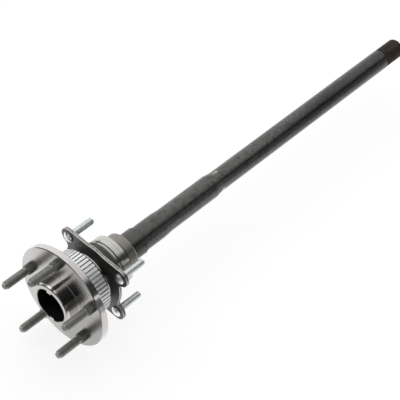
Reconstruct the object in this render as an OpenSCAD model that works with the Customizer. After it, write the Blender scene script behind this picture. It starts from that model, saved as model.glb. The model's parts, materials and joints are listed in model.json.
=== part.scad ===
// Flanged rear axle shaft with wheel studs, speed-sensor ring, retainer plate, oil seal and tapered bearing.
// Millimetres. The shaft lies along Y, the wheel side faces -Y, and Y = 0 is the wheel face of the flange.

/* [Flange] */
// Width of the flange outside the stud circle
flange_margin = 18; // [15:0.5:26]
// Thickness of the wheel flange
flange_thickness = 11; // [9:0.5:15]
// Chamfer round both edges of the flange
flange_edge = 1; // [0.5:0.1:1.5]
// Space left round the blend between the flange and the hub
blend_space = 2.5; // [1.5:0.1:4]

/* [Wheel pilot] */
// Diameter that centres the wheel
pilot_diameter = 71.5; // [70:0.1:75]
// How far the pilot stands out of the flange
pilot_length = 21.5; // [16:0.5:28]
// Length of the tapered lead at the end of the pilot
pilot_lead_length = 4; // [2:0.5:12]
// How much the lead takes off the radius
pilot_lead_drop = 1.2; // [0.5:0.1:3]
// Blend radius at the foot of the pilot
pilot_blend = 0.8; // [0.5:0.1:3]
// Thickness of the wall between the pilot and its recess
pilot_wall = 8.75; // [8:0.25:12]
// Depth of the recess from the end of the pilot
recess_depth = 50; // [38:1:56]
// How much the recess narrows on each side towards its floor
recess_draft = 3; // [1:0.5:4]
// Radius round the floor of the recess
recess_blend = 7; // [3:0.5:9]
// Width of the two lugs inside the mouth of the recess
lug_width = 8; // [5:0.5:12]
// How far the lugs reach inwards
lug_height = 3; // [1.5:0.5:4]
// Depth of the lugs along the shaft
lug_depth = 5; // [3:0.5:8]
// Clock angle of the lugs
lug_angle = 99; // [0:1:180]

/* [Wheel studs] */
// Diameter of the stud circle
stud_circle = 127; // [126:0.1:130]
// Clock angle of the first stud
stud_angle = 28.6; // [0:0.1:72]
// Thread diameter of the studs
stud_thread = 12.7; // [12:0.1:14]
// How far the studs stand out of the flange
stud_reach = 50.4; // [40:0.1:60]
// How far the pressed-in shank stands out past the thread
stud_swell = 1.55; // [1.2:0.05:2]
// How far the shank stands out of the flange
stud_shoulder = 8.5; // [4:0.5:12]
// How far the head behind the flange stands out past the shank
stud_head_lip = 2.6; // [1.8:0.1:3.2]
// Thickness of the stud head
stud_head_height = 4.5; // [3:0.1:6]
// Diameter of the plain nose at the stud tip
stud_nose = 9.4; // [8:0.1:10.4]
// Length of the plain nose at the stud tip
stud_nose_length = 1.8; // [1:0.1:4]

/* [Tone ring] */
// Diameter over the teeth
tone_diameter = 101.8; // [98:0.2:104]
// Number of teeth
tone_teeth = 52; // [40:1:60]
// Depth of the gaps between the teeth
tone_tooth_depth = 3.2; // [2:0.1:3.6]
// Width of the gaps between the teeth
tone_gap_width = 2.1; // [1.5:0.1:3]
// Length of the teeth along the shaft
tone_tooth_length = 25; // [18:0.5:28]
// Thickness of the ring under the gaps between the teeth
tone_wall = 4.2; // [3:0.1:5]
// Space between the flange and the ring
tone_space = 10; // [9:0.5:14]

/* [Hub and journal] */
// How far the hub runs on past the tone ring
hub_tail = 7.2; // [4:0.2:10]
// Diameter of the seal journal
journal_diameter = 50.8; // [48:0.1:52]
// Blend radius between the hub and the journal
journal_blend = 4; // [2:0.5:6]
// Space between the hub and the retainer plate
plate_space = 7; // [5:0.1:10]

/* [Retainer plate] */
// Thickness of the plate
plate_thickness = 4.8; // [3.5:0.1:6.5]
// Diameter of the round middle of the plate
plate_middle = 107; // [100:0.5:112]
// Space between the plate and the journal that turns inside it
plate_clearance = 5.6; // [3:0.1:8]
// Radius of the ears round their bolts
ear_radius = 14; // [12:0.5:16]
// Blend radius between the ears and the sides
ear_blend = 9; // [5:0.5:12]
// Distance between the bolts across the plate
bolt_spacing_x = 101.6; // [98:0.2:106]
// Distance between the bolts up the plate
bolt_spacing_z = 74.8; // [72:0.2:78]

/* [Retainer bolts] */
// Thread diameter of the bolts
bolt_diameter = 11.1; // [9:0.1:12]
// How far the bolts reach past the plate
bolt_reach = 41; // [34:0.1:54]
// Diameter of the round heads
bolt_head = 16.5; // [14:0.1:18]
// Height of the round heads
bolt_head_height = 4.4; // [3:0.1:6]
// Height of the straight edge of the heads
bolt_head_edge = 1.4; // [0.8:0.1:2]
// How far the serrated shoulder stands out past the thread
bolt_swell = 0.5; // [0.3:0.1:1]

/* [Oil seal] */
// How far the seal stands out past the bearing
seal_step = 0.5; // [0.2:0.1:1.2]
// Length of the seal from the plate to the bearing
seal_length = 22.2; // [19:0.1:30]
// Thickness of the steel case
seal_case_wall = 1.2; // [0.8:0.1:1.6]
// Thickness of the rubber over the case
seal_rubber_wall = 2; // [1.2:0.1:2.4]
// Thickness of the garter spring
spring_thickness = 2.2; // [1.6:0.1:2.6]

/* [Bearing] */
// Bore of the cone
bearing_bore = 45.242; // [44.6:0.001:46]
// Outer diameter of the cup
bearing_diameter = 77.788; // [76:0.001:80]
// Width of the cup
cup_width = 15.08; // [14:0.001:16]
// Width of the cone
cone_width = 19.842; // [18.8:0.001:21.5]
// Width of the bearing from the face of the cup to the back of the cone
bearing_width = 19.842; // [18.8:0.001:21.2]
// Slope of the rollers' axes, in degrees
roller_tilt = 13.25; // [12:0.05:15]
// Share of the circle through the rollers that they fill
roller_fill = 0.72; // [0.64:0.01:0.8]
// Where that circle lies between the bore and the outside
roller_place = 0.47; // [0.45:0.01:0.5]
// Distance from the face of the cup to the middle of the rollers
roller_setback = 9.4; // [9:0.1:9.8]
// Length of the rollers
roller_length = 10.8; // [9:0.1:11]
// Thickness of the cage
cage_wall = 1.2; // [0.8:0.1:1.4]
// Height of the large rib on the cone
rib_height = 2.7; // [2:0.1:3.2]

/* [Lock collar] */
// Thickness of the collar
collar_wall = 8; // [6:0.1:10]
// Length of the collar
collar_length = 16.5; // [12:0.5:20]
// Radius round the inner end of the collar
collar_round = 3.5; // [1:0.1:5]

/* [Shaft] */
// Length from the wheel face of the flange to the inner end
shaft_length = 778.5; // [700:0.5:900]
// How far the turned tail past the collar lies below the bearing seat
tail_drop = 0.85; // [0.3:0.05:1.8]
// Length of the turned tail past the collar
seat_tail = 27; // [20:0.5:40]
// Diameter of the shaft after the turned tail
shaft_diameter_1 = 39.8; // [39:0.1:40.4]
// Length of that stretch
shaft_length_1 = 40; // [20:1:60]
// Length of the taper after it
taper_length_1 = 16; // [8:1:30]
// Diameter of the next stretch
shaft_diameter_2 = 37.4; // [36:0.1:38.8]
// Length of that stretch
shaft_length_2 = 98; // [60:1:140]
// Length of the taper after it
taper_length_2 = 14; // [8:1:30]
// Diameter of the long stretch up to the splines
shaft_diameter_3 = 33.6; // [33.2:0.1:35.8]
// Diameter over the splines
spline_diameter = 32.8; // [32:0.1:33]
// Number of splines
spline_teeth = 30; // [24:1:34]
// Depth of the splines
spline_depth = 1.25; // [0.8:0.05:1.4]
// Length of the splines
spline_length = 43; // [30:1:60]
// Chamfer at the splined end
spline_chamfer = 1.6; // [0.8:0.1:2.5]

/* [Fits] */
// Play left on the radius where parts are pressed together
press_play = 0.02; // [0.01:0.01:0.05]
// Play of the rollers in their raceways
roller_play = 0.08; // [0.06:0.01:0.1]
// Play of the rollers in the windows of the cage
window_play = 0.25; // [0.15:0.05:0.35]
// Play of the seal lips on the journal
lip_play = 0.08; // [0.06:0.01:0.1]

/* [Hidden] */

$fn = 96;

stud_count = 5;
roller_count = 18;

// how far a cutting shape runs past the surface it cuts
overrun = 1;
// broken edge on the small turned parts
fine_edge = 0.8;

// radii
flange_radius = stud_circle / 2 + flange_margin;
pilot_radius = pilot_diameter / 2;
pilot_end_radius = pilot_radius - pilot_lead_drop;
recess_radius = pilot_radius - pilot_wall;
recess_floor_radius = recess_radius - recess_draft;
journal_radius = journal_diameter / 2;
cone_bore_radius = bearing_bore / 2;
seat_radius = cone_bore_radius - press_play;
tail_radius = seat_radius - tail_drop;
tone_radius = tone_diameter / 2;
tone_root_radius = tone_radius - tone_tooth_depth;
tone_bore_radius = tone_root_radius - tone_wall;
hub_radius = tone_bore_radius - press_play;
cup_radius = bearing_diameter / 2;
collar_bore_radius = seat_radius + press_play;
collar_radius = collar_bore_radius + collar_wall;
shaft_radius_1 = shaft_diameter_1 / 2;
shaft_radius_2 = shaft_diameter_2 / 2;
shaft_radius_3 = shaft_diameter_3 / 2;
spline_radius = spline_diameter / 2;
spline_root_radius = spline_radius - spline_depth;

// stations along the shaft, from the wheel face of the flange
pilot_end = -pilot_length;
recess_floor = pilot_end + recess_depth;
tone_start = flange_thickness + tone_space;
tone_end = tone_start + tone_tooth_length;
hub_end = tone_end + hub_tail;
plate_start = hub_end + plate_space;
plate_end = plate_start + plate_thickness;
bolt_tip = plate_end + bolt_reach;
cup_start = plate_end + seal_length;
cup_end = cup_start + cup_width;
cone_end = cup_start + bearing_width;
cone_start = cone_end - cone_width;
collar_end = cone_end + collar_length;
tail_start = collar_end + tail_drop;
tail_end = collar_end + seat_tail;
tail_chamfer = tail_radius - shaft_radius_1;
taper_start_1 = tail_end + tail_chamfer + shaft_length_1;
taper_end_1 = taper_start_1 + taper_length_1;
taper_start_2 = taper_end_1 + shaft_length_2;
taper_end_2 = taper_start_2 + taper_length_2;
spline_start = shaft_length - spline_length;
spline_run_in = shaft_radius_3 - spline_root_radius;

// splines: share of the pitch that is open at the top and at the floor
spline_open_top = 0.66;
spline_open_floor = 0.24;
spline_pitch = PI * spline_diameter / spline_teeth;

// lathe centres
centre_width = 9;
centre_depth = 6.5;

// studs
stud_radius = stud_thread / 2;
stud_shank_radius = stud_radius + stud_swell;
stud_head_radius = stud_shank_radius + stud_head_lip;
stud_nose_radius = stud_nose / 2;
hub_blend = min(stud_circle / 2 - stud_head_radius - hub_radius, tone_space) - blend_space;
stud_neck_drop = 0.9;
stud_neck_length = 1.5;
stud_neck_end = -stud_shoulder - stud_neck_length;
stud_thread_start = stud_neck_end - stud_neck_drop;
stud_nose_start = -stud_reach + stud_nose_length;
stud_thread_end = stud_nose_start + stud_radius - stud_nose_radius;

// retainer plate: the blend between an ear and the round middle touches both
bolt_x = bolt_spacing_x / 2;
bolt_z = bolt_spacing_z / 2;
ear_distance = sqrt(bolt_x * bolt_x + bolt_z * bolt_z);
blend_from_middle = plate_middle / 2 + ear_blend;
blend_from_ear = ear_radius + ear_blend;
blend_turn = acos((ear_distance * ear_distance + blend_from_middle * blend_from_middle
    - blend_from_ear * blend_from_ear) / (2 * ear_distance * blend_from_middle));
blend_heading = atan2(bolt_z, bolt_x) - blend_turn;
blend_centre = [blend_from_middle * cos(blend_heading), blend_from_middle * sin(blend_heading)];

// retainer bolts
bolt_radius = bolt_diameter / 2;
bolt_shoulder_radius = bolt_radius + bolt_swell;
bolt_dome = bolt_head_height - bolt_head_edge;
bolt_dome_radius = (bolt_head * bolt_head / 4 + bolt_dome * bolt_dome) / (2 * bolt_dome);
bolt_tip_chamfer = 1.25;

// oil seal: a steel case with a web, covered in rubber, and a spring behind its main lip
seal_radius = cup_radius + seal_step;
seal_edge = 0.8;
rim_width = 3.2;
rim_gap = 2;
rim_drop = 0.5;
case_outside = seal_radius - seal_rubber_wall;
case_inside = case_outside - seal_case_wall;
case_rim_radius = seal_radius - rim_drop;
case_rim_end = cup_start - rim_gap;
case_rim_start = case_rim_end - rim_width;
web_clearance = 3.2;
case_web_radius = journal_radius + web_clearance;
case_web_start = plate_end + seal_case_wall;
case_web_end = case_web_start + seal_case_wall;
heel_width = 1.4;
heel_end = case_web_end + seal_case_wall;
lip_wall = 1.2;
lip_length = 3.1;
lip_back = 0.2;
lip_place = 0.42;
lip_radius = journal_radius + lip_play;
lip_station = plate_end + seal_length * lip_place;
lip_end = lip_station + lip_length;
spring_bed = 1.6;
spring_offset = 0.7;
spring_ring_radius = lip_radius + spring_bed + spring_thickness / 2;
spring_station = lip_station + spring_offset;
lip_back_radius = spring_ring_radius + lip_back;

// bearing: the rollers' axes meet in one point, the apex, on the shaft's axis
roller_circle_radius = cone_bore_radius + (cup_radius - cone_bore_radius) * roller_place;
roller_radius = PI * roller_circle_radius * roller_fill / roller_count;
roller_centre = roller_circle_radius / sin(roller_tilt);
roller_slope = atan(roller_radius / roller_centre);
apex = cup_start + roller_setback - roller_centre * cos(roller_tilt);
roller_near = roller_centre - roller_length / 2;
roller_far = roller_centre + roller_length / 2;
roller_near_radius = roller_near * tan(roller_slope) - roller_play;
roller_far_radius = roller_far * tan(roller_slope) - roller_play;
roller_edge = 0.4;
cup_face_edge = 0.7;
cup_back_edge = 0.6;
cone_edge = 1;
cone_rib_play = 0.1;
cone_small_rib = 1.1;

// cage, measured from the rollers' own axes
cage_rise = 0.62;
cage_outside = roller_near_radius * cage_rise;
cage_inside = cage_outside - cage_wall;
cage_end_bar = 1.7;
cage_near = roller_near - window_play - cage_end_bar;
cage_far = roller_far + window_play + cage_end_bar;
cage_lip = 0.6;
window_half = sqrt(roller_far_radius * roller_far_radius - cage_inside * cage_inside) + window_play;

// a point in the section, at a distance along a roller's axis and a height above it
function at_roller(along, height) =
    [along * sin(roller_tilt) + height * cos(roller_tilt),
     apex + along * cos(roller_tilt) - height * sin(roller_tilt)];

// radius of the cup's raceway at a station
function cup_race(station) = (station - apex) * tan(roller_tilt + roller_slope);

// a section drawn as radius across and station up, turned about the shaft's axis
module turned() {
    rotate([-90, 0, 0])
        rotate_extrude()
            children();
}

// a flat outline in X and Z, made solid between two stations
module plated(from, to) {
    translate([0, from, 0])
        rotate([-90, 0, 0])
            linear_extrude(height = to - from)
                children();
}

// carry a shape to a clock angle, from +X towards +Z
module clocked(angle) {
    rotate([0, -angle, 0])
        children();
}

// fill an inside corner of a section with a round blend on its (across, up) side
module corner_blend(corner, size, across, up) {
    difference() {
        translate([corner[0] + min(0, across * size), corner[1] + min(0, up * size)])
            square(size);
        translate([corner[0] + across * size, corner[1] + up * size])
            circle(size);
    }
}

// a quarter of a disc, for rounding an outside corner of a section
module quarter_disc(size) {
    intersection() {
        circle(size);
        square(size);
    }
}

// a cone-shaped lathe centre, cut into an end face from the origin along +Y
module lathe_centre() {
    slope = centre_width / 2 / (centre_depth + overrun);
    translate([0, -overrun, 0])
        rotate([-90, 0, 0])
            cylinder(h = centre_depth + overrun, r1 = centre_width / 2 + slope * overrun, r2 = slope);
}

// Axle shaft

module shaft_section() {
    polygon([
        [0, pilot_end],
        [pilot_end_radius - flange_edge, pilot_end],
        [pilot_end_radius, pilot_end + flange_edge],
        [pilot_radius, pilot_end + pilot_lead_length],
        [pilot_radius, 0],
        [flange_radius - flange_edge, 0],
        [flange_radius, flange_edge],
        [flange_radius, flange_thickness - flange_edge],
        [flange_radius - flange_edge, flange_thickness],
        [hub_radius, flange_thickness],
        [hub_radius, hub_end - flange_edge],
        [hub_radius - flange_edge, hub_end],
        [journal_radius, hub_end],
        [journal_radius, cone_start],
        [seat_radius, cone_start],
        [seat_radius, collar_end],
        [tail_radius, tail_start],
        [tail_radius, tail_end],
        [shaft_radius_1, tail_end + tail_chamfer],
        [shaft_radius_1, taper_start_1],
        [shaft_radius_2, taper_end_1],
        [shaft_radius_2, taper_start_2],
        [shaft_radius_3, taper_end_2],
        [shaft_radius_3, spline_start - spline_run_in],
        [spline_root_radius, spline_start],
        [spline_root_radius, shaft_length - spline_chamfer],
        [spline_root_radius - spline_chamfer / 2, shaft_length],
        [0, shaft_length]
    ]);
    corner_blend([pilot_radius, 0], pilot_blend, 1, -1);
    corner_blend([hub_radius, flange_thickness], hub_blend, 1, 1);
    corner_blend([journal_radius, hub_end], journal_blend, 1, 1);
}

module recess_section() {
    polygon([
        [0, pilot_end - overrun],
        [recess_radius + flange_edge, pilot_end - overrun],
        [recess_radius + flange_edge, pilot_end],
        [recess_radius, pilot_end + flange_edge],
        [recess_floor_radius, recess_floor - recess_blend],
        [recess_floor_radius - recess_blend, recess_floor - recess_blend],
        [recess_floor_radius - recess_blend, recess_floor],
        [0, recess_floor]
    ]);
    translate([recess_floor_radius - recess_blend, recess_floor - recess_blend])
        quarter_disc(recess_blend);
}

module spline_outline() {
    floor_half = spline_pitch * spline_open_floor / 2;
    top_half = spline_pitch * spline_open_top - floor_half;
    difference() {
        circle(spline_radius);
        for (i = [0 : spline_teeth - 1])
            rotate(i * 360 / spline_teeth)
                polygon([
                    [spline_root_radius, -floor_half],
                    [spline_radius + spline_depth, -top_half],
                    [spline_radius + spline_depth, top_half],
                    [spline_root_radius, floor_half]
                ]);
    }
}

module splines() {
    intersection() {
        plated(spline_start, shaft_length)
            spline_outline();
        turned()
            polygon([
                [0, spline_start],
                [spline_root_radius, spline_start],
                [spline_radius, spline_start + spline_depth],
                [spline_radius, shaft_length - spline_chamfer],
                [spline_radius - spline_chamfer, shaft_length],
                [0, shaft_length]
            ]);
    }
}

module lugs() {
    intersection() {
        turned()
            translate([recess_radius - lug_height, pilot_end])
                square([lug_height + flange_edge, lug_depth]);
        clocked(lug_angle)
            translate([-pilot_radius, pilot_end, -lug_width / 2])
                cube([pilot_diameter, pilot_length, lug_width]);
    }
}

module stud_hole() {
    translate([stud_circle / 2, -overrun, 0])
        rotate([-90, 0, 0])
            cylinder(h = flange_thickness + overrun * 2, r = stud_shank_radius + press_play);
}

module axle_shaft() {
    color([0.36, 0.35, 0.34]) {
        difference() {
            union() {
                turned()
                    shaft_section();
                splines();
            }
            turned()
                recess_section();
            for (i = [0 : stud_count - 1])
                clocked(stud_angle + i * 360 / stud_count)
                    stud_hole();
            translate([0, recess_floor, 0])
                lathe_centre();
            translate([0, shaft_length, 0])
                mirror([0, 1, 0])
                    lathe_centre();
        }
        lugs();
    }
}

// Wheel studs

module stud_section() {
    head_end = flange_thickness + stud_head_height;
    polygon([
        [0, -stud_reach],
        [stud_nose_radius - fine_edge, -stud_reach],
        [stud_nose_radius, -stud_reach + fine_edge],
        [stud_nose_radius, stud_nose_start],
        [stud_radius, stud_thread_end],
        [stud_radius, stud_thread_start],
        [stud_radius - stud_neck_drop, stud_neck_end],
        [stud_radius - stud_neck_drop, -stud_shoulder],
        [stud_shank_radius - fine_edge, -stud_shoulder],
        [stud_shank_radius, -stud_shoulder + fine_edge],
        [stud_shank_radius, flange_thickness],
        [stud_head_radius, flange_thickness],
        [stud_head_radius, head_end - fine_edge],
        [stud_head_radius - fine_edge, head_end],
        [0, head_end]
    ]);
}

module wheel_stud(number) {
    color([0.30, 0.31, 0.29])
        clocked(stud_angle + (number - 1) * 360 / stud_count)
            translate([stud_circle / 2, 0, 0])
                turned()
                    stud_section();
}

// Tone ring

module tone_section() {
    polygon([
        [tone_bore_radius, tone_start],
        [tone_radius - fine_edge, tone_start],
        [tone_radius, tone_start + fine_edge],
        [tone_radius, tone_end - fine_edge],
        [tone_radius - fine_edge, tone_end],
        [tone_bore_radius, tone_end]
    ]);
}

module tone_ring() {
    color([0.80, 0.83, 0.84])
        difference() {
            turned()
                tone_section();
            for (i = [0 : tone_teeth - 1])
                clocked(i * 360 / tone_teeth)
                    translate([tone_root_radius, tone_start - overrun, -tone_gap_width / 2])
                        cube([tone_tooth_depth + overrun, tone_tooth_length + overrun * 2, tone_gap_width]);
        }
}

// Retainer plate and its bolts

// repeat an outline in all four corners of the plate
module four_corners() {
    for (across = [0, 1])
        for (up = [0, 1])
            mirror([across, 0])
                mirror([0, up])
                    children();
}

module plate_outline() {
    difference() {
        union() {
            circle(plate_middle / 2);
            for (up = [-1, 1])
                translate([-bolt_x, up * bolt_z - ear_radius])
                    square([bolt_spacing_x, ear_radius * 2]);
            four_corners() {
                translate([bolt_x, bolt_z])
                    circle(ear_radius);
                polygon([[0, 0], blend_centre, [bolt_x, bolt_z]]);
            }
        }
        four_corners() {
            translate(blend_centre)
                circle(ear_blend + press_play);
            translate([bolt_x, bolt_z])
                circle(bolt_shoulder_radius + press_play);
        }
        circle(journal_radius + plate_clearance);
    }
}

module retainer_plate() {
    color([0.16, 0.16, 0.16])
        plated(plate_start, plate_end)
            plate_outline();
}

module bolt_section() {
    polygon([
        [0, plate_start - bolt_head_edge],
        [bolt_head / 2, plate_start - bolt_head_edge],
        [bolt_head / 2, plate_start],
        [bolt_shoulder_radius, plate_start],
        [bolt_shoulder_radius, plate_end],
        [bolt_radius, plate_end],
        [bolt_radius, bolt_tip - bolt_tip_chamfer],
        [bolt_radius - bolt_tip_chamfer, bolt_tip],
        [0, bolt_tip]
    ]);
    intersection() {
        translate([0, plate_start - bolt_head_height + bolt_dome_radius])
            circle(bolt_dome_radius);
        translate([0, plate_start - bolt_head_height])
            square([bolt_head / 2, bolt_dome]);
    }
}

module retainer_bolt(across, up) {
    color([0.78, 0.81, 0.82])
        translate([across * bolt_x, 0, up * bolt_z])
            turned()
                bolt_section();
}

// Oil seal

module oil_seal_case() {
    color([0.74, 0.74, 0.72])
        turned()
            polygon([
                [case_web_radius, case_web_start],
                [case_outside, case_web_start],
                [case_outside, case_rim_start],
                [case_rim_radius, case_rim_start],
                [case_rim_radius, case_rim_end],
                [case_outside, case_rim_end],
                [case_outside, cup_start],
                [case_inside, cup_start],
                [case_inside, case_web_end],
                [case_web_radius, case_web_end]
            ]);
}

module seal_rubber_section() {
    difference() {
        polygon([
            [lip_radius, plate_end + seal_edge / 2],
            [lip_radius + seal_edge, plate_end],
            [seal_radius - seal_edge, plate_end],
            [seal_radius, plate_end + seal_edge],
            [seal_radius, case_rim_start],
            [case_outside, case_rim_start],
            [case_outside, case_web_start],
            [case_web_radius, case_web_start],
            [case_web_radius, case_web_end],
            [case_web_radius + heel_width, case_web_end],
            [case_web_radius + heel_width, heel_end],
            [case_web_radius - seal_edge / 2, heel_end],
            [lip_back_radius - seal_edge, lip_station - spring_thickness],
            [lip_back_radius, lip_end],
            [lip_radius + lip_wall, lip_end],
            [lip_radius, lip_station],
            [lip_radius + lip_wall, heel_end],
            [lip_radius + lip_wall, case_web_start + seal_edge]
        ]);
        translate([spring_ring_radius, spring_station])
            circle(spring_thickness / 2 + press_play);
    }
}

module oil_seal_rubber() {
    color([0.05, 0.05, 0.05])
        turned()
            seal_rubber_section();
}

module oil_seal_spring() {
    color([0.60, 0.60, 0.58])
        turned()
            translate([spring_ring_radius, spring_station])
                circle(spring_thickness / 2);
}

// Tapered bearing

module bearing_cup() {
    color([0.80, 0.80, 0.77])
        turned()
            polygon([
                [cup_race(cup_start), cup_start],
                [cup_radius - cup_face_edge, cup_start],
                [cup_radius, cup_start + cup_face_edge],
                [cup_radius, cup_end - cup_back_edge],
                [cup_radius - cup_back_edge, cup_end],
                [cup_race(cup_end), cup_end]
            ]);
}

module bearing_cone() {
    near = roller_near - cone_rib_play;
    far = roller_far + cone_rib_play;
    race_near = -roller_near * tan(roller_slope);
    race_far = -roller_far * tan(roller_slope);
    small_rib_top = at_roller(near, race_near + cone_small_rib);
    rib_top = at_roller(far, race_far + rib_height);
    color([0.78, 0.78, 0.76])
        turned()
            polygon([
                [cone_bore_radius + cone_edge, cone_start],
                [small_rib_top[0], cone_start],
                small_rib_top,
                at_roller(near, race_near),
                at_roller(far, race_far),
                rib_top,
                [rib_top[0], cone_end - cone_edge],
                [rib_top[0] - cone_edge, cone_end],
                [cone_bore_radius + cone_edge, cone_end],
                [cone_bore_radius, cone_end - cone_edge],
                [cone_bore_radius, cone_start + cone_edge]
            ]);
}

// carry a shape that stands on the rollers' meeting point to the place of one roller
module at_roller_place(number) {
    clocked((number - 1) * 360 / roller_count)
        translate([0, apex, 0])
            rotate([-90, 0, 0])
                rotate([0, roller_tilt, 0])
                    children();
}

module bearing_cage() {
    color([0.62, 0.60, 0.55])
        difference() {
            turned()
                polygon([
                    at_roller(cage_near, -cage_lip),
                    at_roller(cage_near + cage_wall, -cage_lip),
                    at_roller(cage_near + cage_wall, cage_inside),
                    at_roller(cage_far, cage_inside),
                    at_roller(cage_far, cage_outside),
                    at_roller(cage_near, cage_outside)
                ]);
            for (i = [1 : roller_count])
                at_roller_place(i)
                    translate([0, -window_half, roller_near - window_play])
                        cube([window_half, window_half * 2, roller_length + window_play * 2]);
        }
}

module bearing_roller(number) {
    color([0.84, 0.84, 0.82])
        at_roller_place(number)
            rotate_extrude()
                polygon([
                    [0, roller_near],
                    [roller_near_radius - roller_edge, roller_near],
                    [roller_near_radius, roller_near + roller_edge],
                    [roller_far_radius, roller_far - roller_edge],
                    [roller_far_radius - roller_edge, roller_far],
                    [0, roller_far]
                ]);
}

// Lock collar

module lock_collar() {
    round_start = collar_end - collar_round;
    color([0.42, 0.40, 0.37])
        turned() {
            polygon([
                [collar_bore_radius, cone_end],
                [collar_radius - fine_edge, cone_end],
                [collar_radius, cone_end + fine_edge],
                [collar_radius, round_start],
                [collar_radius - collar_round, round_start],
                [collar_radius - collar_round, collar_end],
                [collar_bore_radius + fine_edge, collar_end],
                [collar_bore_radius, collar_end - fine_edge]
            ]);
            translate([collar_radius - collar_round, round_start])
                quarter_disc(collar_round);
        }
}

axle_shaft();
wheel_stud(1);  // wheel_stud_1
wheel_stud(2);  // wheel_stud_2
wheel_stud(3);  // wheel_stud_3
wheel_stud(4);  // wheel_stud_4
wheel_stud(5);  // wheel_stud_5
tone_ring();
retainer_plate();
retainer_bolt(-1, 1);  // retainer_bolt_1
retainer_bolt(1, 1);  // retainer_bolt_2
retainer_bolt(1, -1);  // retainer_bolt_3
retainer_bolt(-1, -1);  // retainer_bolt_4
oil_seal_case();
oil_seal_rubber();
oil_seal_spring();
bearing_cup();
bearing_cone();
bearing_cage();
bearing_roller(1);  // bearing_roller_1
bearing_roller(2);  // bearing_roller_2
bearing_roller(3);  // bearing_roller_3
bearing_roller(4);  // bearing_roller_4
bearing_roller(5);  // bearing_roller_5
bearing_roller(6);  // bearing_roller_6
bearing_roller(7);  // bearing_roller_7
bearing_roller(8);  // bearing_roller_8
bearing_roller(9);  // bearing_roller_9
bearing_roller(10);  // bearing_roller_10
bearing_roller(11);  // bearing_roller_11
bearing_roller(12);  // bearing_roller_12
bearing_roller(13);  // bearing_roller_13
bearing_roller(14);  // bearing_roller_14
bearing_roller(15);  // bearing_roller_15
bearing_roller(16);  // bearing_roller_16
bearing_roller(17);  // bearing_roller_17
bearing_roller(18);  // bearing_roller_18
lock_collar();
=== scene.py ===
"""Looks of a flanged rear axle shaft: threads, finishes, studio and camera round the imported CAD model."""

import json
import math

import bmesh
import bpy
from mathutils import Matrix, Vector


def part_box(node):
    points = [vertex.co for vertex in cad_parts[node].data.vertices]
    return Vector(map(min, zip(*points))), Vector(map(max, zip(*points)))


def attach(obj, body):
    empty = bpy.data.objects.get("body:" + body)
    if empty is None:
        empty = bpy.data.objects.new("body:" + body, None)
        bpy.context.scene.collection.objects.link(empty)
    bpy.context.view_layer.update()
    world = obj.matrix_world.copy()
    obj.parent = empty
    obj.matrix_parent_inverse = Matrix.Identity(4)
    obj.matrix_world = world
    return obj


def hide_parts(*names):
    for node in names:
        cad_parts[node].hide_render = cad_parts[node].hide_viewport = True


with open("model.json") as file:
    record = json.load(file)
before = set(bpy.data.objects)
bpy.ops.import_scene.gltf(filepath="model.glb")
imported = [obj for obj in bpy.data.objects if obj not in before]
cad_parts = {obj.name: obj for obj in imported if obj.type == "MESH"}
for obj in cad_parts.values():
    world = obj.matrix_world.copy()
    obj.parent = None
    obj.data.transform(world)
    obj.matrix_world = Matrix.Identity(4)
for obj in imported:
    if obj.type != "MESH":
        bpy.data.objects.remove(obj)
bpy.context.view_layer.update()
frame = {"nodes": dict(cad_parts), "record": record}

MM = 0.001
nodes = frame["nodes"]
mounts = {m["name"]: m for m in frame["record"]["mounts"]}

# The photograph's camera, in the model's frame: its place in metres, directions of length 1, and its
# lens and sensor in millimetres
CAMERA_PLACE = Vector((0.79925, -0.81265, 1.51186))
CAMERA_RIGHT = Vector((0.7316006, 0.6739550, 0.1026896))
CAMERA_UP = Vector((-0.5586153, 0.5062932, 0.6569750))
CAMERA_AHEAD = Vector((-0.3907806, 0.5380072, -0.7468860))
CAMERA_LENS, CAMERA_SENSOR = 121.686, 36.0

# Lengths on the axle shaft and its studs that the frame has no name for
PILOT_WALL = 8.75 * MM
RECESS_END = 34 * MM
HUB_TAIL = 7.2 * MM
COLLAR_TO_SHOULDER = 197 * MM
STUD_NECK = 2.4 * MM

# Radii, and stations along the shaft, that shapes and finishes follow, in metres, from the frame
FLANGE_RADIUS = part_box("axle_shaft")[1].x
SHAFT_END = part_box("axle_shaft")[1].y
PILOT_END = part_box("axle_shaft")[0].y
PILOT_RADIUS = mounts["wheel_pilot"]["dims"]["r_mm"] * MM
RECESS_RADIUS = PILOT_RADIUS - PILOT_WALL
TONE_RADIUS, TONE_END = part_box("tone_ring")[1].x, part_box("tone_ring")[1].y
HUB_END = TONE_END + HUB_TAIL
COLLAR_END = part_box("lock_collar")[1].y
SHOULDER_END = COLLAR_END + COLLAR_TO_SHOULDER
SPLINE_START = SHAFT_END - mounts["spline_end"]["dims"]["length_mm"] * MM
PLATE_START, PLATE_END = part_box("retainer_plate")[0].y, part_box("retainer_plate")[1].y
STUD_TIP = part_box("wheel_stud_1")[0].y
STUD_THREAD_START = mounts["wheel_studs"]["pos_m"][1]
STUD_SHOULDER = STUD_THREAD_START + STUD_NECK

# Thread of the studs and bolts
THREAD_PITCH, THREAD_DEPTH = 1.27 * MM, 0.78 * MM

# Fine flutes round the rubber of the seal
SEAL_FLUTES = 82

# Where the second shoulder of the shaft is rubbed bright, in degrees round the axis from +X towards +Z
SCUFF_ANGLES = ((104, 116), (-14, 2))
SCUFF_SOFT = 4


# Meshes

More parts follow.
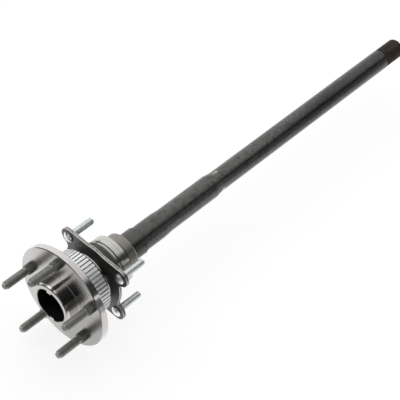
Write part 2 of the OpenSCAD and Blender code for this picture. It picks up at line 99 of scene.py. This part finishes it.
class Lathe:
    """A mesh of closed turned, threaded, serrated and fluted bodies about one axis along Y."""

    def __init__(self, x, z):
        self.mesh = bmesh.new()
        self.x, self.z = x, z

    def point(self, radius, station, angle):
        return self.mesh.verts.new(
            (self.x + radius * math.cos(angle), station, self.z + radius * math.sin(angle)))

    def skin(self, rings):
        """Faces between neighbouring closed rings of points; a ring of one point is a tip."""
        for lower, upper in zip(rings, rings[1:]):
            count = max(len(lower), len(upper))
            for i in range(count):
                j = (i + 1) % count
                corners = [lower[i % len(lower)], lower[j % len(lower)],
                           upper[j % len(upper)], upper[i % len(upper)]]
                unique = list(dict.fromkeys(corners))
                if len(unique) > 2:
                    self.mesh.faces.new(unique)

    def turn(self, profile, steps=48, serration=0.0):
        """Turn (radius, station) points about the axis. serration alternates the radius round the outline."""
        rings = []
        for radius, station in profile:
            if radius <= 0:
                rings.append([self.point(0, station, 0)])
                continue
            rings.append([self.point(radius - serration * (i % 2), station, 2 * math.pi * i / steps)
                          for i in range(steps)])
        self.skin(rings)

    def thread(self, root, crest, start, end, steps=40):
        """A helical ridge from start to end whose two ends fade into the core."""
        sink = 0.1 * (crest - root)
        foot = root - sink
        half_foot, half_top = 0.46 * THREAD_PITCH, 0.07 * THREAD_PITCH
        turns = (end - start) / THREAD_PITCH - 1
        count = int(turns * steps)
        rows = []
        for i in range(count + 1):
            fade = min(1.0, 2.0 * i / steps, 2.0 * (count - i) / steps)
            middle = start + THREAD_PITCH * (0.5 + i / steps)
            angle = 2 * math.pi * i / steps
            top = foot + (crest - root + sink) * fade
            corners = ((foot, -half_foot), (top, -half_top), (top, half_top), (foot, half_foot))
            rows.append([self.point(radius, middle + offset, angle) for radius, offset in corners])
        self.skin(rows)
        self.mesh.faces.new(rows[0])
        self.mesh.faces.new(rows[-1])

    def flute(self, foot, profile, count, steps=6):
        """A sleeve with round flutes along the axis: its inner radius, and (station, root, crest) outside."""
        angles = [2 * math.pi * i / (count * steps) for i in range(count * steps)]
        rings = []
        for station, root, crest in profile:
            radii = [root + (crest - root) * (0.5 + 0.5 * math.sin(count * angle)) for angle in angles]
            rings.append([self.point(radius, station, angle) for radius, angle in zip(radii, angles)])
        for station in (profile[-1][0], profile[0][0]):
            rings.append([self.point(foot, station, angle) for angle in angles])
        self.skin(rings + rings[:1])

    def finish(self, name, smooth_angle=32):
        bmesh.ops.recalc_face_normals(self.mesh, faces=self.mesh.faces)
        data = bpy.data.meshes.new(name)
        self.mesh.to_mesh(data)
        self.mesh.free()
        data.shade_smooth()
        data.set_sharp_from_angle(angle=math.radians(smooth_angle))
        piece = bpy.data.objects.new(name, data)
        bpy.context.scene.collection.objects.link(piece)
        return piece


def wheel_stud(node):
    """A pressed wheel stud: head, serrated shank, neck, rolled thread and plain nose with a dimpled tip."""
    low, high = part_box(node)
    middle = (low + high) / 2
    thread = mounts["wheel_studs"]["dims"]["stud_r_mm"] * MM
    head = (high.x - low.x) / 2
    shank, neck, nose = thread + 1.55 * MM, thread - 0.9 * MM, thread - 1.65 * MM
    nose_length, head_height = 1.8 * MM, 4.5 * MM
    edge, runout, sunk = 0.8 * MM, 0.9 * MM, 0.5 * MM
    serrations, serration_depth = 42, 0.35 * MM
    core = thread - THREAD_DEPTH
    nose_end = low.y + nose_length
    thread_end = nose_end + thread - nose
    head_start = high.y - head_height
    shank_end = head_start + sunk
    lathe = Lathe(middle.x, middle.z)
    lathe.turn([(0, low.y + edge), (0.45 * nose, low.y + 0.7 * edge), (0.62 * nose, low.y),
                (nose - 0.5 * edge, low.y), (nose - 0.15 * edge, low.y + 0.2 * edge),
                (nose, low.y + 0.6 * edge), (nose, nose_end), (core, thread_end - 0.3 * MM),
                (core, STUD_THREAD_START), (neck, STUD_THREAD_START + runout), (neck, STUD_SHOULDER + edge),
                (0, STUD_SHOULDER + edge)])
    lathe.thread(core, thread, thread_end - THREAD_PITCH, STUD_THREAD_START + 0.4 * THREAD_PITCH)
    lathe.turn([(0, STUD_SHOULDER), (shank - edge, STUD_SHOULDER), (shank, STUD_SHOULDER + edge),
                (shank, shank_end), (0, shank_end)], steps=2 * serrations, serration=serration_depth)
    lathe.turn([(0, head_start), (head, head_start), (head, high.y - edge),
                (head - 0.3 * edge, high.y - 0.3 * edge), (head - edge, high.y), (0, high.y)])
    return lathe.finish(node + "_threaded")


def retainer_bolt(node):
    """A retainer bolt: domed head, shoulder in the plate and a thread to the tip."""
    low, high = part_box(node)
    middle = (low + high) / 2
    thread = mounts["retainer_bolts"]["dims"]["stud_r_mm"] * MM
    head = (high.x - low.x) / 2
    head_rim, edge, tip = 1.4 * MM, 0.3 * MM, 1.25 * MM
    shoulder, core = thread + 0.5 * MM, thread - THREAD_DEPTH
    dome = PLATE_START - low.y - head_rim
    dome_radius = (head * head + dome * dome) / (2 * dome)
    dome_steps = 10
    dome_angle = math.asin(head / dome_radius)
    crown = []
    for i in range(dome_steps + 1):
        angle = dome_angle * i / dome_steps
        crown.append((dome_radius * math.sin(angle), low.y + dome_radius * (1 - math.cos(angle))))
    lathe = Lathe(middle.x, middle.z)
    lathe.turn(crown + [(head, PLATE_START - edge), (head - edge, PLATE_START), (0, PLATE_START)])
    lathe.turn([(0, PLATE_START), (shoulder, PLATE_START), (shoulder, PLATE_END), (0, PLATE_END)])
    lathe.turn([(0, PLATE_END), (core, PLATE_END), (core, high.y - 0.5 * tip),
                (thread - 1.2 * THREAD_DEPTH, high.y - 0.15 * tip),
                (thread - 1.5 * THREAD_DEPTH, high.y), (0, high.y)])
    lathe.thread(core, thread, PLATE_END, high.y - 0.4 * tip)
    return lathe.finish(node + "_threaded")


def seal_flutes():
    """Fine moulded flutes round the rubber of the seal, with their feet sunk into it."""
    low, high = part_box("oil_seal_rubber")
    radius, depth, bevel = high.x, 0.55 * MM, 0.5 * MM
    start, end = low.y + 1.2 * MM, high.y - 0.3 * MM
    root, crest = radius + 0.02 * MM, radius + depth
    outside = [(start, root, root), (start + bevel, root, crest),
               (end - bevel, root, crest), (end, root, root)]
    lathe = Lathe(0, 0)
    lathe.flute(radius - depth, outside, SEAL_FLUTES)
    return lathe.finish("oil_seal_flutes")


# Node trees

def grey(level):
    return level, level, level


class NodeTree:
    """A tree of shader nodes, with short calls that each give the output of a new node."""

    def __init__(self, tree):
        self.tree = tree

    def add(self, kind, settings=(), **inputs):
        """A new node, with its inputs by name."""
        made = self.tree.nodes.new(kind)
        for key, value in dict(settings).items():
            setattr(made, key, value)
        for key, value in inputs.items():
            self.link(made.inputs[key.replace("_", " ")], value)
        return made

    def link(self, socket, value):
        """Link an output to an input, or give the input a fixed value; a fixed colour is opaque."""
        if isinstance(value, bpy.types.NodeSocket):
            self.tree.links.new(value, socket)
        elif socket.type == "RGBA":
            socket.default_value = (*value, 1.0)
        else:
            socket.default_value = value

    def make(self, kind, settings, inputs, output=0):
        """One output of a new node, with its inputs by number."""
        made = self.add(kind, settings)
        for index, value in inputs.items():
            self.link(made.inputs[index], value)
        return made.outputs[output]

    def math(self, operation, a, b=0.0):
        return self.make("ShaderNodeMath", {"operation": operation}, {0: a, 1: b})

    def times(self, a, b):
        return self.math("MULTIPLY", a, b)

    def vector(self, operation, inputs, output=0):
        return self.make("ShaderNodeVectorMath", {"operation": operation}, inputs, output)

    def split(self, vector):
        """The three parts of a vector."""
        return self.add("ShaderNodeSeparateXYZ", Vector=vector).outputs

    def step(self, value, start, end, low=0.0, high=1.0, kind="SMOOTHSTEP"):
        """A change from low to high as value goes from start to end, smooth unless kind says otherwise."""
        return self.make("ShaderNodeMapRange", {"interpolation_type": kind},
                         {0: value, 1: start, 2: end, 3: low, 4: high})

    def within(self, value, start, end, soft):
        """1 where value lies between start and end, with soft ends."""
        return self.times(self.step(value, start - soft, start + soft),
                          self.step(value, end - soft, end + soft, 1.0, 0.0))

    def mix(self, share, a, b):
        """Mix of two colours."""
        return self.make("ShaderNodeMix", {"data_type": "RGBA"}, {0: share, 6: a, 7: b}, output=2)

    def blend(self, share, a, b):
        """Mix of two numbers."""
        return self.make("ShaderNodeMix", {"data_type": "FLOAT"}, {0: share, 2: a, 3: b})

    def choose(self, share, a, b):
        """Mix of two shaders."""
        return self.make("ShaderNodeMixShader", {}, {0: share, 1: a, 2: b})

    def panels(self, share, levels):
        """Soft panels of (degrees, level), as share goes once round from -180 degrees."""
        ramp = self.add("ShaderNodeValToRGB", Fac=share)
        points = ramp.color_ramp.elements
        while len(points) < len(levels):
            points.new(0.5)
        for point, (degrees, level) in zip(points, levels):
            point.position = (degrees + 180) / 360
            point.color = (*grey(level), 1.0)
        return ramp.outputs[0]


class Surface(NodeTree):
    """A procedural material on the principled shader, with the radius, angle and station of each place."""

    def __init__(self, name, **fixed):
        self.material = bpy.data.materials.new(name)
        self.material.use_nodes = True
        super().__init__(self.material.node_tree)
        self.shader = self.tree.nodes["Principled BSDF"]
        self.set(**fixed)
        self.place = self.add("ShaderNodeTexCoord").outputs["Object"]
        across, self.station, height = self.split(self.place)
        square = self.math("ADD", self.times(across, across), self.times(height, height))
        self.radius = self.math("SQRT", square)
        self.angle = self.math("ARCTAN2", height, across)

    def set(self, **inputs):
        """Values or links for inputs of the principled shader."""
        for key, value in inputs.items():
            self.link(self.shader.inputs[key.replace("_", " ")], value)

    def noise(self, scale, detail=3.0, stretch=(1, 1, 1), roughness=0.55):
        scaled = self.vector("MULTIPLY", {0: self.place, 1: stretch})
        return self.add("ShaderNodeTexNoise", Vector=scaled, Scale=scale, Detail=detail,
                        Roughness=roughness).outputs[0]

    def lines(self, value, scale, detail=4.0):
        """Fine tool lines that run at right angles to value."""
        return self.add("ShaderNodeTexNoise", {"noise_dimensions": "1D"}, W=value, Scale=scale, Detail=detail,
                        Roughness=0.7).outputs[0]

    def bump(self, height, strength, distance):
        made = self.add("ShaderNodeBump", Height=height, Strength=strength, Distance=distance)
        self.set(Normal=made.outputs[0])

    def round_grain(self):
        """Grain that runs round the shaft's axis."""
        made = self.add("ShaderNodeTangent", {"direction_type": "RADIAL", "axis": "Y"})
        self.set(Tangent=made.outputs[0])

    def finish(self, colour, roughness):
        self.set(Base_Color=colour, Roughness=roughness)
        return self.material


# Finishes

# Colours, the darker one first where there are two
TURNED_STEEL = (0.50, 0.485, 0.475), (0.66, 0.645, 0.635)
DULL_STEEL = (0.40, 0.38, 0.365)
# painted shade for the hub just behind the tone ring
HUB_PAINTED_SHADE = (0.022, 0.021, 0.02)
# painted shade for the inside of the pilot's recess
RECESS_PAINTED_SHADE = (0.045, 0.043, 0.04)
FORGED_SCALE = (0.060, 0.060, 0.060), (0.124, 0.122, 0.118)
SCALE_BLOTCH = (0.05, 0.05, 0.05)
SCALE_SPECK = (0.34, 0.33, 0.31)
SCUFFED_STEEL = (0.62, 0.61, 0.58)
SPLINE_RUST = (0.078, 0.070, 0.062), (0.122, 0.090, 0.070)
PHOSPHATE = (0.40, 0.404, 0.385), (0.60, 0.603, 0.578)
# painted shade for the base of the studs where they meet the flange
STUD_BASE_PAINTED_SHADE = (0.12, 0.12, 0.115)
STUD_TIP_STEEL = (0.5, 0.5, 0.47)
TONE_ZINC = (0.97, 0.99, 0.985)
TONE_GAP = (0.58, 0.60, 0.60)
BOLT_ZINC = (0.95, 0.985, 0.99)
PLATE_FACE = (0.085, 0.083, 0.079), (0.19, 0.183, 0.175)
PLATE_SHEARED = (0.27, 0.268, 0.26), (0.44, 0.437, 0.425)
PLATE_TORN = (0.07, 0.067, 0.06)
# painted highlight along the front edge of the plate's sheared side
PLATE_EDGE_HIGHLIGHT = (0.72, 0.715, 0.70)
RUBBER_BLOOM = (0.14, 0.137, 0.117), (0.26, 0.255, 0.225)
# painted shade in the grooves between the seal's flutes
RUBBER_GROOVE_SHADE = (0.004, 0.004, 0.004)
SEAL_STEEL = (0.30, 0.30, 0.285), (0.46, 0.46, 0.44)
BEARING_STEEL = (0.36, 0.36, 0.337), (0.60, 0.60, 0.56)
CAGE_STEEL = (0.48, 0.46, 0.42), (0.64, 0.62, 0.57)
COLLAR_STEEL = (0.19, 0.178, 0.162), (0.31, 0.292, 0.266)


def axle_finish():
    """Turned bright flange, polished pilot, ground journal, dark scaled shaft with scuffs, and painted shade
    on the hub and in the recess.
    """
    look = Surface("axle_steel", Metallic=1.0, Anisotropic_Rotation=0.25)
    look.round_grain()

    # Where each finish lies; the small distances set its soft borders
    face = look.times(look.within(look.station, -0.4 * MM, 0.4 * MM, 0.2 * MM),
                      look.step(look.radius, PILOT_RADIUS + 1.5 * MM, PILOT_RADIUS + 2.2 * MM))
    rim = look.step(look.radius, FLANGE_RADIUS - 1.3 * MM, FLANGE_RADIUS - 0.9 * MM)
    pilot = look.times(look.within(look.station, PILOT_END, -0.2 * MM, 0.2 * MM),
                       look.step(look.radius, RECESS_RADIUS + 3 * MM, RECESS_RADIUS + 4 * MM))
    # the inside of the pilot's recess, where the colour paints its shade near-black
    recess_shade = look.times(look.within(look.station, PILOT_END + 0.3 * MM, RECESS_END, 0.2 * MM),
                        look.step(look.radius, RECESS_RADIUS - 0.1 * MM, RECESS_RADIUS + 0.3 * MM, 1.0, 0.0))
    # the hub just behind the tone ring, where the colour paints its shade black
    hub_shade = look.within(look.station, TONE_END - 4 * MM, HUB_END - 2.4 * MM, 0.1 * MM)
    shaft = look.step(look.station, COLLAR_END - 1 * MM, COLLAR_END)
    spline = look.step(look.station, SPLINE_START - 4 * MM, SPLINE_START)
    degrees = look.times(look.angle, 180 / math.pi)
    rubbed = look.math("MAXIMUM", *(look.within(degrees, start, end, SCUFF_SOFT)
                                    for start, end in SCUFF_ANGLES))
    scuff = look.times(look.within(look.station, SHOULDER_END - 3 * MM, SHOULDER_END + 6 * MM, 2 * MM),
                       look.times(rubbed, look.step(look.noise(170, 3), 0.36, 0.54)))

    tool = look.blend(face, look.lines(look.station, 2200), look.lines(look.radius, 2600))
    bright = look.mix(tool, *TURNED_STEEL)
    bright = look.mix(look.times(look.noise(45, 5), 0.25), bright, DULL_STEEL)
    # painted shade: the hub behind the tone ring is coloured black
    bright = look.mix(hub_shade, bright, HUB_PAINTED_SHADE)

    streak, blotch = look.noise(30, 6, stretch=(1, 0.12, 1)), look.noise(120, 4)
    scale = look.mix(look.step(streak, 0.3, 0.7), *FORGED_SCALE)
    scale = look.mix(look.times(look.step(blotch, 0.45, 0.7), 0.65), scale, SCALE_BLOTCH)
    scale = look.mix(look.times(look.step(look.noise(260, 2), 0.66, 0.72), 0.5), scale, SCALE_SPECK)
    scale = look.mix(look.times(scuff, 0.7), scale, SCUFFED_STEEL)
    scale = look.mix(spline, scale, look.mix(look.step(blotch, 0.40, 0.62), *SPLINE_RUST))
    # painted shade: the inside of the pilot's recess is coloured near-black
    colour = look.mix(recess_shade, look.mix(shaft, bright, scale), RECESS_PAINTED_SHADE)

    rough = look.blend(tool, 0.17, 0.27)
    forged = look.blend(streak, 0.29, 0.38)
    for place, value in ((rim, 0.07), (hub_shade, 0.5), (pilot, 0.09), (shaft, forged), (spline, 0.6),
                         (recess_shade, 0.65)):
        rough = look.blend(place, rough, value)
    relief = look.blend(shaft, look.times(tool, 0.12), look.times(look.noise(420, 4), 0.7))
    relief = look.blend(look.math("MAXIMUM", pilot, rim), relief, 0.0)
    look.bump(relief, 0.35, 0.12 * MM)
    look.set(Anisotropic=look.times(face, 0.8))
    return look.finish(colour, rough)


def stud_finish():
    """Phosphated steel, with painted shade on the shoulder by the flange, and worn to metal at the tip."""
    look = Surface("stud_steel", Metallic=0.75)
    mottle = look.noise(160, 4)
    # the shoulder by the flange, where painted shade darkens the stud's base
    shoulder = look.step(look.station, STUD_SHOULDER - 1 * MM, STUD_SHOULDER)
    tip = look.step(look.station, STUD_TIP + 2 * MM, STUD_TIP + 0.6 * MM)
    colour = look.mix(mottle, *PHOSPHATE)
    # painted shade at the base of each stud, where it meets the flange
    colour = look.mix(look.times(shoulder, 0.42), colour, STUD_BASE_PAINTED_SHADE)
    colour = look.mix(look.times(tip, 0.6), colour, STUD_TIP_STEEL)
    look.bump(look.noise(900, 3), 0.25, 0.06 * MM)
    return look.finish(colour, look.blend(mottle, 0.48, 0.6))


def zinc_finish(name, tint, metal, roughness, gap=0.0, head=0.0):
    """Pale zinc plating with a soft, slightly uneven shine, for a ring with gaps or bolts with heads."""
    look = Surface(name, Metallic=metal)
    mottle = look.noise(140, 4)
    colour = look.mix(mottle, tuple(0.88 * c for c in tint), tint)
    if gap:
        # the gaps of the tone ring lie in shade
        colour = look.mix(look.step(look.radius, gap - 1.2 * MM, gap - 0.2 * MM), TONE_GAP, colour)
    if head:
        # the heads of the bolts are bare, even metal
        bare = look.step(look.station, head - 0.3 * MM, head - 0.1 * MM, 1.0, 0.0)
        look.set(Metallic=look.blend(bare, metal, 1.0))
        colour = look.mix(bare, colour, tuple(0.98 * c for c in tint))
    look.bump(look.noise(700, 3), 0.15, 0.05 * MM)
    return look.finish(colour, look.blend(mottle, *roughness))


def plate_finish():
    """Dark stamped steel plate with paler, worn sheared edges, and a painted highlight along the front edge
    of the sheared side.
    """
    look = Surface("plate_black")
    facing = look.split(look.add("ShaderNodeNewGeometry").outputs["True Normal"])[1]
    side = look.step(look.math("SUBTRACT", 1.0, look.math("ABSOLUTE", facing)), 0.4, 0.8)
    middle = (PLATE_START + PLATE_END) / 2
    torn = look.times(look.within(look.station, middle - 1.2 * MM, middle + 1.0 * MM, 0.4 * MM),
                      look.step(look.noise(330, 3), 0.40, 0.60))
    # a painted highlight: a pale line along the front edge of the sheared side
    edge_highlight = look.step(look.station, PLATE_START + 0.5 * MM, PLATE_START + 0.9 * MM, 1.0, 0.0)
    face = look.mix(look.noise(60, 6), *PLATE_FACE)
    sheared = look.mix(look.noise(90, 5), *PLATE_SHEARED)
    sheared = look.mix(look.times(torn, 0.8), sheared, PLATE_TORN)
    sheared = look.mix(edge_highlight, sheared, PLATE_EDGE_HIGHLIGHT)
    look.bump(look.noise(500, 4), 0.3, 0.1 * MM)
    look.set(Metallic=look.blend(side, 0.5, 1.0))
    return look.finish(look.mix(side, face, sheared), look.blend(side, 0.36, 0.40))


def rubber_finish():
    """Black moulded rubber, with a faint bloom on the crests of its flutes and painted shade in the grooves
    between them.
    """
    look = Surface("seal_rubber", Metallic=0.0)
    bloom = look.noise(120, 5)
    crest = look.step(look.math("SINE", look.times(look.angle, SEAL_FLUTES)), 0.3, 0.9)
    look.bump(look.noise(600, 3), 0.2, 0.05 * MM)
    # the crests are paler with bloom; the grooves between them are painted near-black as shade
    colour = look.mix(crest, RUBBER_GROOVE_SHADE, look.mix(bloom, *RUBBER_BLOOM))
    return look.finish(colour, look.blend(bloom, 0.4, 0.55))


def steel_finish(name, colours, roughness):
    """Ground or drawn steel with fine lines round the axis."""
    look = Surface(name, Metallic=1.0)
    lines = look.step(look.lines(look.station, 700, 2.0), 0.3, 0.7)
    colour = look.mix(look.blend(0.4, lines, look.noise(70, 5)), *colours)
    look.bump(look.lines(look.station, 2400), 0.12, 0.05 * MM)
    return look.finish(colour, look.blend(lines, *roughness))


finishes = {
    "axle_steel": axle_finish(),
    "stud_steel": stud_finish(),
    "tone_zinc": zinc_finish("tone_zinc", TONE_ZINC, 0.7, (0.5, 0.6), gap=TONE_RADIUS),
    "plate_black": plate_finish(),
    "bolt_zinc": zinc_finish("bolt_zinc", BOLT_ZINC, 0.8, (0.26, 0.36), head=PLATE_START),
    "seal_rubber": rubber_finish(),
    "seal_steel": steel_finish("seal_steel", SEAL_STEEL, (0.18, 0.3)),
    "bearing_steel": steel_finish("bearing_steel", BEARING_STEEL, (0.15, 0.20)),
    "cage_steel": steel_finish("cage_steel", CAGE_STEEL, (0.3, 0.42)),
    "collar_steel": steel_finish("collar_steel", COLLAR_STEEL, (0.34, 0.46)),
}
slot_of = {part["node"]: part["material_slot"] for part in frame["record"]["subparts"]}
for name, node in nodes.items():
    node.data.materials.clear()
    node.data.materials.append(finishes[slot_of[name]])

for number in range(1, 6):
    node = f"wheel_stud_{number}"
    piece = wheel_stud(node)
    piece.data.materials.append(finishes["stud_steel"])
    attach(piece, "axle")
    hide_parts(node)
for number in range(1, 5):
    node = f"retainer_bolt_{number}"
    piece = retainer_bolt(node)
    piece.data.materials.append(finishes["bolt_zinc"])
    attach(piece, "carrier")
    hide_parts(node)

piece = seal_flutes()
piece.data.materials.append(finishes["seal_rubber"])
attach(piece, "carrier")


# Studio

# Brightness of the soft panels round the shaft's axis, by degrees from +X towards +Z: those that stand
# past the inner end of the shaft, and those that stand on the wheel side, round the camera
FAR_PANELS = ((-180, 1.25), (-10, 0.9), (-2, 0.2), (8, 0.15), (16, 0.25), (18.8, 1.0), (23, 1.0),
              (25.5, 0.12), (33, 0.055), (49, 0.055), (55, 0.12), (60, 0.4), (68, 0.84), (120, 1.12),
              (150, 1.25), (180, 1.25))
NEAR_PANELS = ((-180, 0.12), (-2, 0.12), (8, 0.02), (62, 0.02), (82, 0.05), (90, 0.25), (98, 0.8),
               (106, 0.8), (112, 0.55), (118, 0.55), (126, 1.6), (140, 1.6), (148, 0.6), (164, 0.12),
               (180, 0.12))
# Where the near panels begin to fade and where the far ones are full, as the Y of a direction
PANELS_CHANGE = (-0.10, 0.15)
# The room in front of the flange is dark: from Y and to Y of a direction, and its share of light at each
ROOM_FRONT = (-0.70, -0.58, 0.05, 1.0)
# Far in front stands a pale wall: from Y and to Y of a direction, its share at each, and its level
WALL_FRONT = (-0.84, -0.93, 0.0, 1.0)
WALL_LEVEL = 0.5

# The floor, which the flange touches
FLOOR_HEIGHT, FLOOR_HALF = -FLANGE_RADIUS, 5.0
# What the camera sees of it: its own white, and the share that takes the object's shadow
FLOOR_WHITE, FLOOR_SHADOW = 0.84, 0.3
# How much of the light that falls on it lights the object
FLOOR_MATT = 0.8
# The white sheet on it as the metal sees it: where it fades out on the wheel side (from Y, to Y, from
# level, to level), and the shadow painted on it round the place under the flange (the same, by distance)
FLOOR_FRONT = (-0.24, -0.05, 0.15, 1.0)
FLOOR_CONTACT = (0.03, -0.03, FLOOR_HEIGHT)
FLOOR_SHADE = (0.02, 0.08, 0.72, 1.1)
# Beside the shaft the sheet ends: the same by X, and the stretch of Y over which that begins
FLOOR_SIDE = (0.15, 0.45, 1.12, 0.50)
FLOOR_ALONG = (0.16, 0.32, 0.0, 1.0)


def studio_light():
    """A plain world of soft panels; the camera sees white instead of them."""
    world = bpy.data.worlds.new("studio")
    bpy.context.scene.world = world
    world.use_nodes = True
    world.node_tree.nodes.clear()
    tree = NodeTree(world.node_tree)
    across, along, up = tree.split(tree.add("ShaderNodeTexCoord").outputs["Generated"])
    share = tree.step(tree.math("ARCTAN2", up, across), -math.pi, math.pi, kind="LINEAR")
    near, far = tree.panels(share, NEAR_PANELS), tree.panels(share, FAR_PANELS)
    panels = tree.mix(tree.step(along, *PANELS_CHANGE), near, far)
    dimmed = tree.vector("SCALE", {0: panels, 3: tree.step(along, *ROOM_FRONT)})
    light = tree.mix(tree.step(along, *WALL_FRONT), dimmed, grey(WALL_LEVEL))
    lit = tree.add("ShaderNodeBackground", Color=light).outputs[0]
    white = tree.add("ShaderNodeBackground", Color=grey(1.0)).outputs[0]
    camera_ray = tree.add("ShaderNodeLightPath").outputs["Is Camera Ray"]
    tree.add("ShaderNodeOutputWorld", Surface=tree.choose(camera_ray, lit, white))


def studio_floor():
    """A pale floor: to the camera white with a faint shadow, in metal or glass a sheet of uneven level with a
    painted shadow under the flange.
    """
    data = bpy.data.meshes.new("floor")
    half = FLOOR_HALF
    corners = [(x, y, FLOOR_HEIGHT) for x, y in ((-half, -half), (half, -half), (half, half), (-half, half))]
    data.from_pydata(corners, [], [(0, 1, 2, 3)])
    floor = bpy.data.objects.new("floor", data)
    bpy.context.scene.collection.objects.link(floor)
    material = bpy.data.materials.new("floor_white")
    material.use_nodes = True
    material.node_tree.nodes.clear()
    data.materials.append(material)

    tree = NodeTree(material.node_tree)
    ray = tree.add("ShaderNodeLightPath").outputs
    place = tree.add("ShaderNodeNewGeometry").outputs["Position"]
    across, along = tree.split(place)[:2]
    distance = tree.vector("DISTANCE", {0: place, 1: FLOOR_CONTACT}, output=1)
    beside = tree.blend(tree.step(along, *FLOOR_ALONG), 1.0, tree.step(across, *FLOOR_SIDE))
    # the level is darkened round the place under the flange: a painted shadow in what the metal sees
    level = tree.times(tree.step(distance, *FLOOR_SHADE), tree.times(tree.step(along, *FLOOR_FRONT), beside))
    matt, shadow = (tree.add("ShaderNodeBsdfDiffuse", Color=grey(tone)).outputs[0]
                    for tone in (FLOOR_MATT, FLOOR_SHADOW))
    mirrored, white = (tree.add("ShaderNodeEmission", Strength=strength).outputs[0]
                       for strength in (level, FLOOR_WHITE))
    shown = tree.make("ShaderNodeAddShader", {}, {0: white, 1: shadow})
    in_metal_or_glass = tree.math("MAXIMUM", ray["Is Glossy Ray"], ray["Is Transmission Ray"])
    surface = tree.choose(ray["Is Camera Ray"], tree.choose(in_metal_or_glass, matt, mirrored), shown)
    tree.add("ShaderNodeOutputMaterial", Surface=surface)


def photo_camera():
    data = bpy.data.cameras.new("photo")
    data.lens, data.sensor_width = CAMERA_LENS, CAMERA_SENSOR
    camera = bpy.data.objects.new("photo", data)
    bpy.context.scene.collection.objects.link(camera)
    turn = Matrix((CAMERA_RIGHT, CAMERA_UP, -CAMERA_AHEAD)).transposed().to_4x4()
    camera.matrix_world = Matrix.Translation(CAMERA_PLACE) @ turn
    bpy.context.scene.camera = camera


studio_light()
studio_floor()
photo_camera()
bpy.context.scene.view_settings.view_transform = "Standard"
